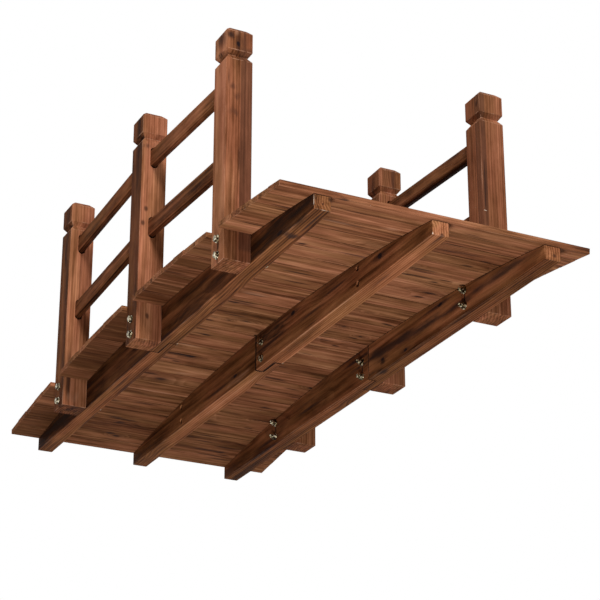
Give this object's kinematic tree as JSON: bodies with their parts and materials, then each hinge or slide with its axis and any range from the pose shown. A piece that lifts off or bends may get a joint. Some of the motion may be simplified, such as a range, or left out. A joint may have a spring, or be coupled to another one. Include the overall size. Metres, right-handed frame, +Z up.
{
  "type": "wooden garden footbridge",
  "caption": "Arched wooden garden footbridge with a plank deck on lapped stringers and bar railings housed in capped posts.",
  "frame": {"origin": "on the ground plane, under the middle of the bridge's length and width", "axes": "+X along the bridge towards the end called near, +Y across it towards the side called right, +Z up"},
  "size_m": [1.5, 0.675, 0.546],
  "materials": {
    "stringer_wood": "dark brown stained softwood, fine straight grain, matt",
    "post_wood": "reddish brown stained softwood, fine straight grain, matt",
    "rail_wood": "brown stained softwood, fine straight grain, matt",
    "deck_wood": "brown stained softwood with dark knots, matt",
    "zinc_steel": "yellowish zinc plate"
  },
  "bodies": {
    "root": {"bolts_left": "zinc_steel", "bolts_middle": "zinc_steel", "bolts_right": "zinc_steel", "deck_board_01": "deck_wood", "deck_board_02": "deck_wood", "deck_board_03": "deck_wood", "deck_board_04": "deck_wood", "deck_board_05": "deck_wood", "deck_board_06": "deck_wood", "deck_board_07": "deck_wood", "deck_board_08": "deck_wood", "deck_board_09": "deck_wood", "deck_board_10": "deck_wood", "deck_board_11": "deck_wood", "deck_board_12": "deck_wood", "deck_board_13": "deck_wood", "deck_board_14": "deck_wood", "deck_board_15": "deck_wood", "deck_board_16": "deck_wood", "deck_board_17": "deck_wood", "deck_board_18": "deck_wood", "deck_board_19": "deck_wood", "deck_board_20": "deck_wood", "deck_board_21": "deck_wood", "deck_board_22": "deck_wood", "deck_board_23": "deck_wood", "deck_board_24": "deck_wood", "deck_board_25": "deck_wood", "deck_board_26": "deck_wood", "deck_board_27": "deck_wood", "nuts_left": "zinc_steel", "nuts_middle": "zinc_steel", "nuts_right": "zinc_steel", "post_left_far": "post_wood", "post_left_middle": "post_wood", "post_left_near": "post_wood", "post_right_far": "post_wood", "post_right_middle": "post_wood", "post_right_near": "post_wood", "rail_left_far_lower": "rail_wood", "rail_left_far_upper": "rail_wood", "rail_left_near_lower": "rail_wood", "rail_left_near_upper": "rail_wood", "rail_right_far_lower": "rail_wood", "rail_right_far_upper": "rail_wood", "rail_right_near_lower": "rail_wood", "rail_right_near_upper": "rail_wood", "stringer_left_far": "stringer_wood", "stringer_left_near": "stringer_wood", "stringer_middle_far": "stringer_wood", "stringer_middle_near": "stringer_wood", "stringer_right_far": "stringer_wood", "stringer_right_near": "stringer_wood"}
  },
  "joints": []
}
